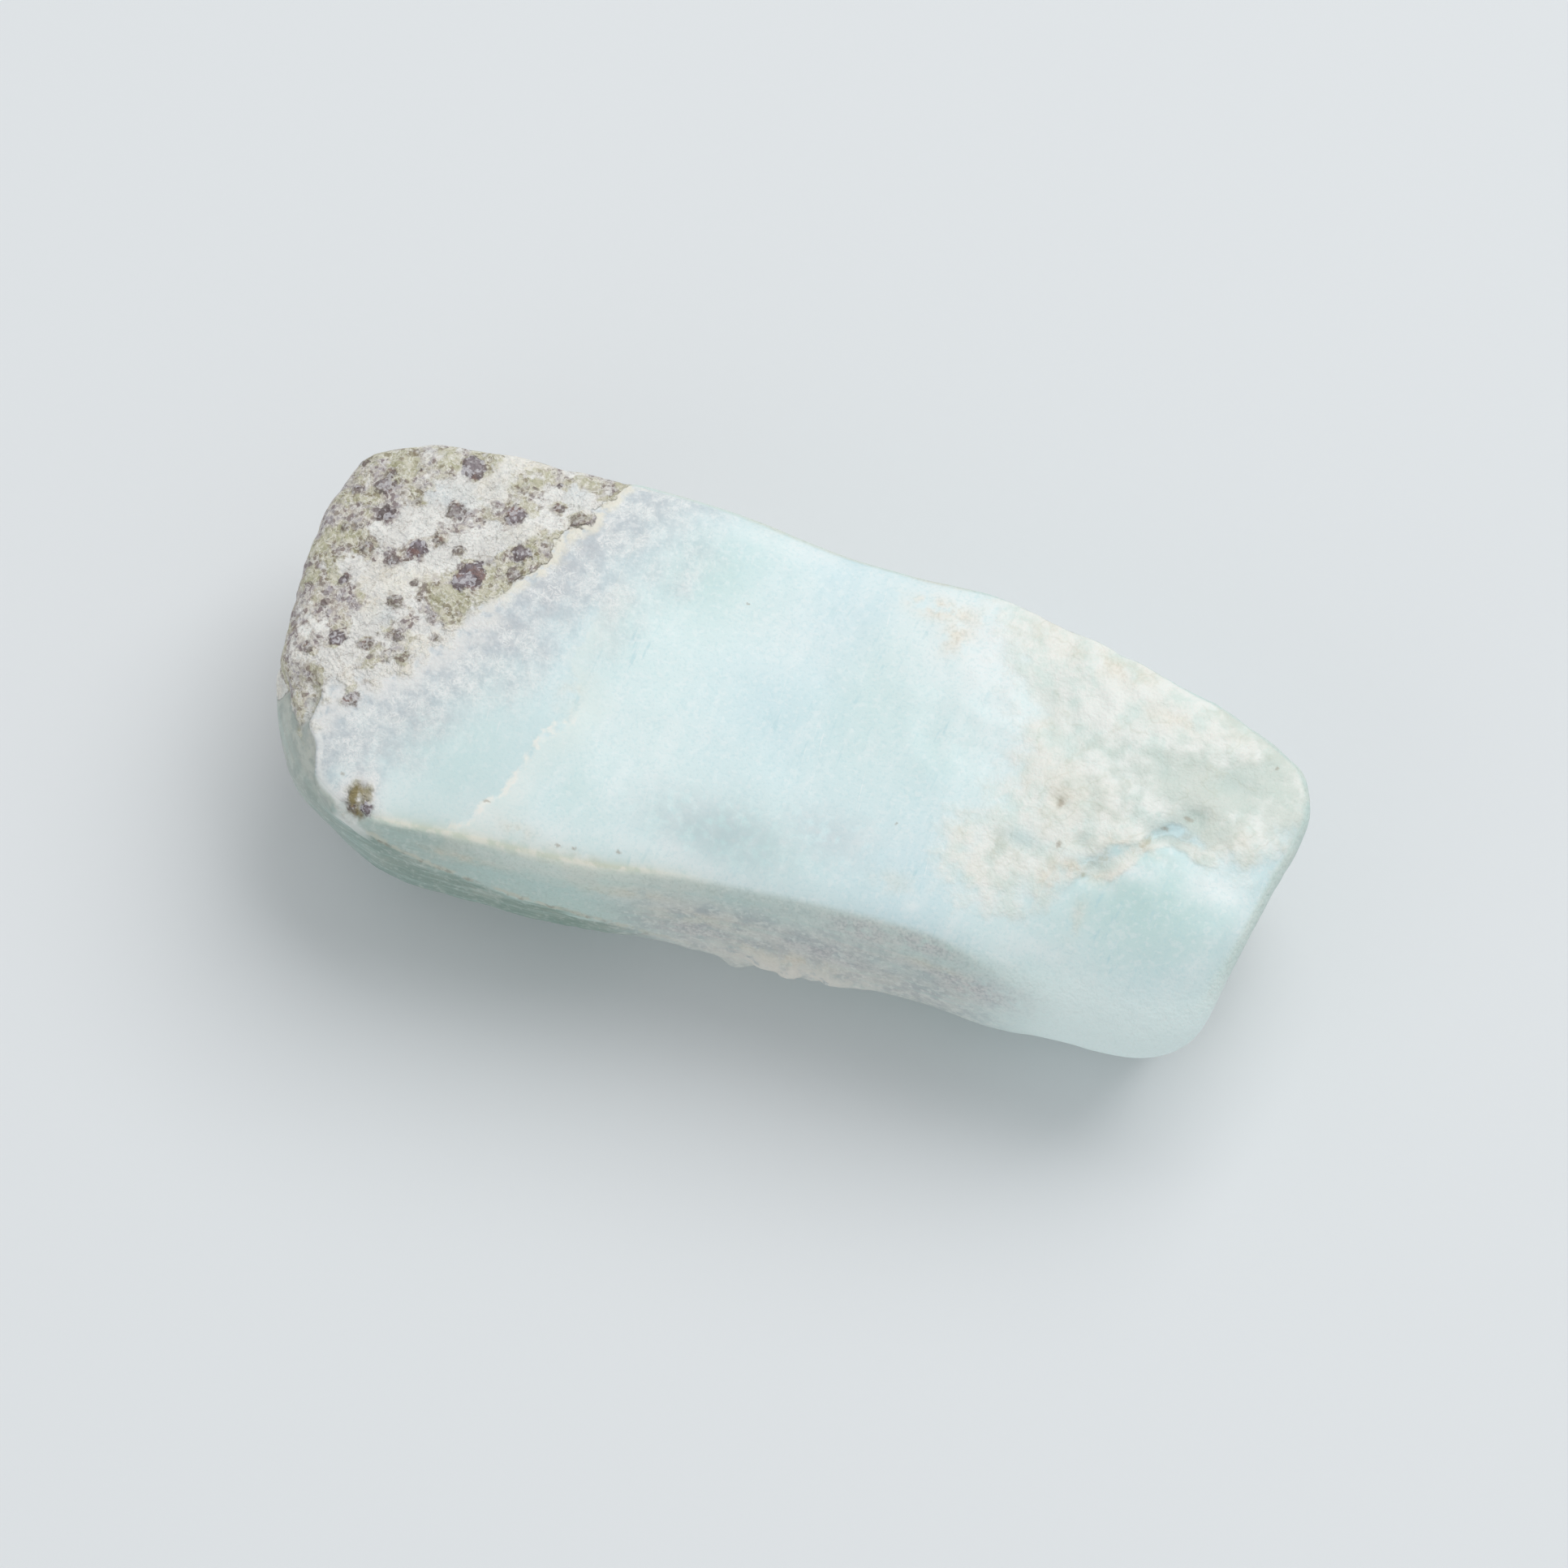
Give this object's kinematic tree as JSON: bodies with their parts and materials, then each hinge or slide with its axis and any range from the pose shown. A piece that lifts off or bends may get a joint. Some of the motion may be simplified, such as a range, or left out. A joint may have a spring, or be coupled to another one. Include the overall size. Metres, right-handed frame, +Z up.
{
  "type": "rough larimar stone",
  "caption": "Loose rough larimar stone, a worn pale blue-green block with a granular host-rock crust on one end, resting on its sawn flat underside.",
  "frame": {"origin": "centre of the bounding box in plan, on the sawn underside that the stone rests on", "axes": "+X along the length, from the host-rock end to the rough cream end; +Y from the front wall to the back wall; +Z up, out of the show face"},
  "size_m": [0.0444, 0.0188, 0.0125],
  "materials": {
    "larimar": "pale blue-green larimar worn to a soft satin, with cream and white clouds, a rough cream end and a granular grey-brown and olive host-rock crust on the left end"
  },
  "bodies": {
    "root": {"larimar_stone": "larimar"}
  },
  "joints": []
}
